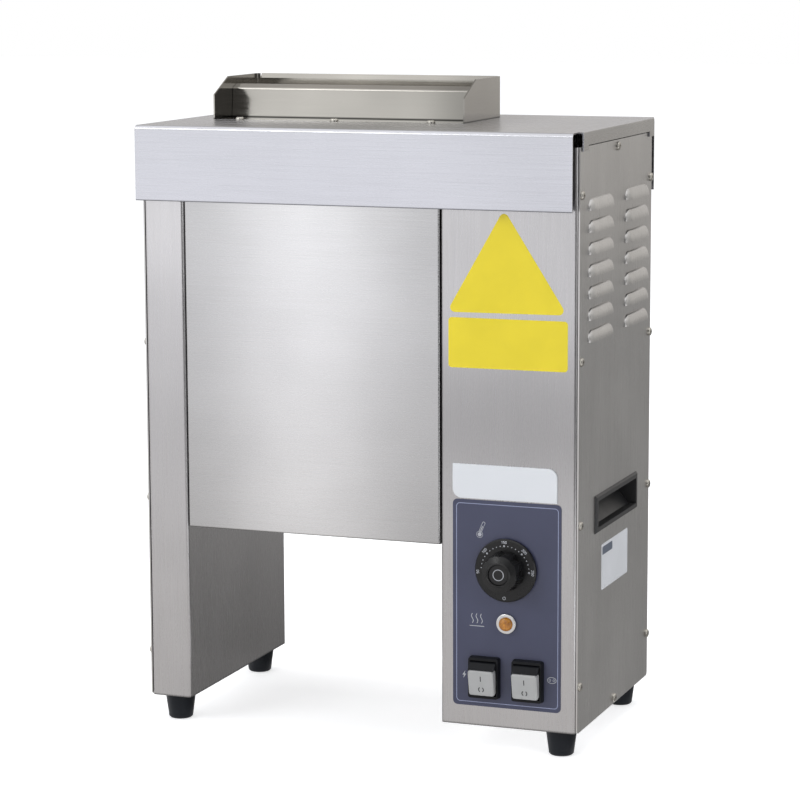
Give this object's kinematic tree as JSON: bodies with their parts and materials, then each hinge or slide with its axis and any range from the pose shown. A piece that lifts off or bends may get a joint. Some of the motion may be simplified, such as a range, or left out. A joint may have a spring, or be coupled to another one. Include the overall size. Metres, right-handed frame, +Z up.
{
  "type": "vertical contact toaster",
  "caption": "Upright conveyor bun toaster with a top feed hopper, a heated platen between belts, and a side column with thermostat, lamp and rocker switches.",
  "frame": {"origin": "on the bench plane, under the middle of the bounding box", "axes": "+Z up, -Y the side with the controls, +X the side with the wide column"},
  "size_m": [0.3978, 0.2554, 0.559],
  "materials": {
    "brushed_stainless": "brushed",
    "inner_steel": "satin",
    "handle_plastic": "matte",
    "foot_rubber": "matte",
    "screw_steel": "polished",
    "overlay_film": "satin",
    "blank_plate": "satin",
    "knob_plastic": "satin",
    "plated_steel": "satin",
    "bezel_chrome": "polished",
    "lamp_amber": "gloss",
    "switch_black": "satin",
    "switch_silver": "satin",
    "platen_aluminium": "cast",
    "heater_sheath": "satin",
    "release_film": "satin",
    "roller_aluminium": "turned",
    "belt_silicone": "matte",
    "bush_bronze": "turned",
    "gear_steel": "machined",
    "motor_black": "satin",
    "fan_black": "satin",
    "terminal_cream": "matte",
    "gland_black": "matte"
  },
  "bodies": {
    "machine": {"top_cover": "brushed_stainless", "leg_shell": "brushed_stainless", "leg_side_panel": "brushed_stainless", "column_shell": "brushed_stainless", "side_panel": "brushed_stainless", "front_shield": "brushed_stainless", "rear_cover": "brushed_stainless", "feeder_hopper": "brushed_stainless", "feeder_divider": "brushed_stainless", "leg_base": "inner_steel", "column_base": "inner_steel", "column_top_rail": "inner_steel", "crossbars": "inner_steel", "feed_guides": "inner_steel", "left_side_plate": "inner_steel", "right_side_plate": "inner_steel", "side_spacers": "inner_steel", "belt_beds": "inner_steel", "motor_bracket": "inner_steel", "recessed_handle": "handle_plastic", "feet": "foot_rubber", "panel_screws": "screw_steel", "feeder_screws": "screw_steel", "platen_bolts": "screw_steel", "control_overlay": "overlay_film", "name_plate": "blank_plate", "thermostat_body": "plated_steel", "gear_studs": "plated_steel", "pilot_bezel": "bezel_chrome", "pilot_lens": "lamp_amber", "power_switch_housing": "switch_black", "motor_switch_housing": "switch_black", "platen": "platen_aluminium", "platen_heaters": "heater_sheath", "release_sheets": "release_film", "front_belt": "belt_silicone", "rear_belt": "belt_silicone", "shaft_bushes": "bush_bronze", "drive_chain": "gear_steel", "gearmotor": "motor_black", "fan_housing": "fan_black", "terminal_block": "terminal_cream", "cord_gland": "gland_black"},
    "thermostat_dial": {"thermostat_knob": "knob_plastic", "knob_cap": "knob_plastic", "thermostat_shaft": "plated_steel"},
    "power_key": {"power_rocker": "switch_black", "power_rocker_cap": "switch_silver"},
    "motor_key": {"motor_rocker": "switch_black", "motor_rocker_cap": "switch_silver"},
    "front_drive": {"front_drive_roller": "roller_aluminium", "front_drive_gear": "gear_steel"},
    "rear_drive": {"rear_drive_roller": "roller_aluminium", "rear_drive_gear": "gear_steel"},
    "front_idler": {"front_idler_roller": "roller_aluminium"},
    "rear_idler": {"rear_idler_roller": "roller_aluminium"},
    "front_middle_wheel": {"front_middle_gear": "gear_steel"},
    "rear_middle_wheel": {"rear_middle_gear": "gear_steel"},
    "motor_wheel": {"motor_sprocket": "gear_steel"},
    "fan_wheel": {"fan_rotor": "fan_black"}
  },
  "joints": [
    {"name": "thermostat_turn", "type": "hinge", "parent": "machine", "child": "thermostat_dial", "pos_m": [0.13285, -0.10625, 0.1588], "axis": [0, -1, 0], "range_deg": [0, 280]},
    {"name": "power_switch", "type": "hinge", "parent": "machine", "child": "power_key", "pos_m": [0.11375, -0.10575, 0.0655], "axis": [-1, 0, 0], "range_deg": [0, 22]},
    {"name": "motor_switch", "type": "hinge", "parent": "machine", "child": "motor_key", "pos_m": [0.15195, -0.10575, 0.0655], "axis": [-1, 0, 0], "range_deg": [0, 22]},
    {"name": "front_drive_spin", "type": "hinge", "parent": "machine", "child": "front_drive", "pos_m": [-0.05405, -0.01205, 0.469], "axis": [-1, 0, 0], "continuous": true},
    {"name": "rear_drive_spin", "type": "hinge", "parent": "machine", "child": "rear_drive", "pos_m": [-0.05405, 0.08555, 0.469], "axis": [-1, 0, 0], "continuous": true},
    {"name": "front_idler_spin", "type": "hinge", "parent": "machine", "child": "front_idler", "pos_m": [-0.05405, -0.01205, 0.213], "axis": [-1, 0, 0], "continuous": true},
    {"name": "rear_idler_spin", "type": "hinge", "parent": "machine", "child": "rear_idler", "pos_m": [-0.05405, 0.08555, 0.213], "axis": [-1, 0, 0], "continuous": true},
    {"name": "front_middle_spin", "type": "hinge", "parent": "machine", "child": "front_middle_wheel", "pos_m": [0.08245, 0.02048, 0.469], "axis": [-1, 0, 0], "continuous": true},
    {"name": "rear_middle_spin", "type": "hinge", "parent": "machine", "child": "rear_middle_wheel", "pos_m": [0.08245, 0.05302, 0.469], "axis": [-1, 0, 0], "continuous": true},
    {"name": "motor_spin", "type": "hinge", "parent": "machine", "child": "motor_wheel", "pos_m": [0.09445, -0.01205, 0.353], "axis": [-1, 0, 0], "continuous": true},
    {"name": "fan_spin", "type": "hinge", "parent": "machine", "child": "fan_wheel", "pos_m": [0.13445, 0.03075, 0.033], "axis": [0, 0, 1], "continuous": true}
  ],
  "couplings": [
    {"joint": "rear_drive_spin", "follows": "front_drive_spin", "ratio": -1},
    {"joint": "front_middle_spin", "follows": "front_drive_spin", "ratio": -1},
    {"joint": "rear_middle_spin", "follows": "front_drive_spin", "ratio": 1},
    {"joint": "front_idler_spin", "follows": "front_drive_spin", "ratio": 1},
    {"joint": "rear_idler_spin", "follows": "front_drive_spin", "ratio": -1},
    {"joint": "motor_spin", "follows": "front_drive_spin", "ratio": 1.3333}
  ]
}
